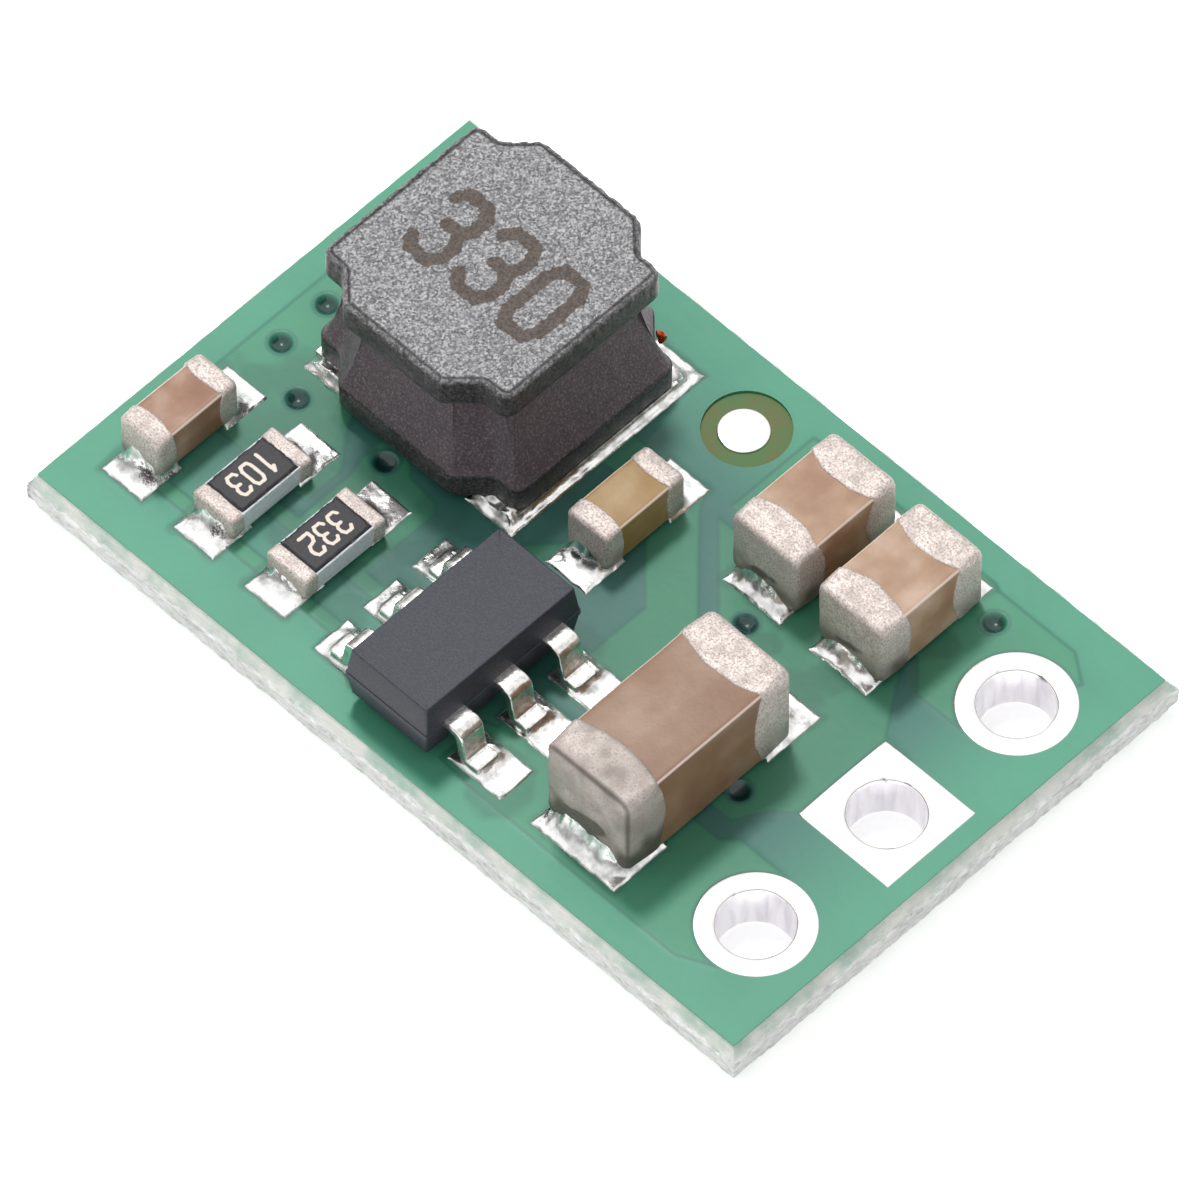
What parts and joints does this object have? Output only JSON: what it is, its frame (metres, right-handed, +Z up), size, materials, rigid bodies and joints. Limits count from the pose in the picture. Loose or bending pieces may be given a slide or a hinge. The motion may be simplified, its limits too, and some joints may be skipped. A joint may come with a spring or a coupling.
{
  "type": "buck converter module",
  "caption": "Small step-down power supply board with a square drum-core inductor, a six-lead regulator, ceramic chip capacitors, chip resistors and a row of plated pin holes.",
  "frame": {"origin": "centre of the board's underside, on the plane it rests on", "axes": "+X along the board towards the row of pin holes, +Y across the board from the input pin to the output pin, +Z up through the mounted parts"},
  "size_m": [0.0138, 0.0088, 0.0034],
  "materials": {
    "laminate": "matt glass-fibre laminate, rough where the board was snapped",
    "copper": "bare rolled copper, hidden under the mask",
    "solder_mask": "green screen-printed lacquer, semi-gloss",
    "via_copper": "plated copper",
    "tin": "hot-tinned copper, bright",
    "solder": "bright solder fillets with a trace of flux",
    "ferrite": "grey sintered ferrite, fine-grained and matt",
    "wire": "enamelled copper wire",
    "resin": "dark magnetic resin, semi-gloss",
    "terminal": "tinned metal on ferrite",
    "epoxy": "dark grey moulding compound, fine matt grain",
    "lead_metal": "tin-plated copper alloy",
    "ceramic_brown": "fired brown dielectric ceramic, satin",
    "ceramic_tan": "fired tan dielectric ceramic, satin",
    "ceramic_rose": "fired rose-brown dielectric ceramic, satin",
    "end_metal": "tin-plated end caps, slightly rough",
    "alumina": "white alumina tile",
    "overcoat": "black glass overcoat"
  },
  "bodies": {
    "root": {"scored_laminate": "laminate", "top_copper": "copper", "bottom_copper": "copper", "top_solder_mask": "solder_mask", "bottom_solder_mask": "solder_mask", "via_barrels": "via_copper", "fiducial_dot": "tin", "pin_hole_output": "tin", "pin_hole_ground": "tin", "pin_hole_input": "tin", "inductor_core": "ferrite", "inductor_winding": "wire", "inductor_resin": "resin", "inductor_terminal_left": "terminal", "inductor_terminal_right": "terminal", "inductor_solder": "solder", "regulator_body": "epoxy", "regulator_leads_left": "lead_metal", "regulator_leads_right": "lead_metal", "regulator_solder": "solder", "feed_cap_body": "ceramic_brown", "feed_cap_ends": "end_metal", "feed_cap_solder": "solder", "boot_cap_body": "ceramic_tan", "boot_cap_ends": "end_metal", "boot_cap_solder": "solder", "output_cap_a_body": "ceramic_brown", "output_cap_a_ends": "end_metal", "output_cap_a_solder": "solder", "output_cap_b_body": "ceramic_brown", "output_cap_b_ends": "end_metal", "output_cap_b_solder": "solder", "input_cap_body": "ceramic_rose", "input_cap_ends": "end_metal", "input_cap_solder": "solder", "resistor_a_base": "alumina", "resistor_a_overcoat": "overcoat", "resistor_a_ends": "end_metal", "resistor_a_solder": "solder", "resistor_b_base": "alumina", "resistor_b_overcoat": "overcoat", "resistor_b_ends": "end_metal", "resistor_b_solder": "solder"}
  },
  "joints": []
}
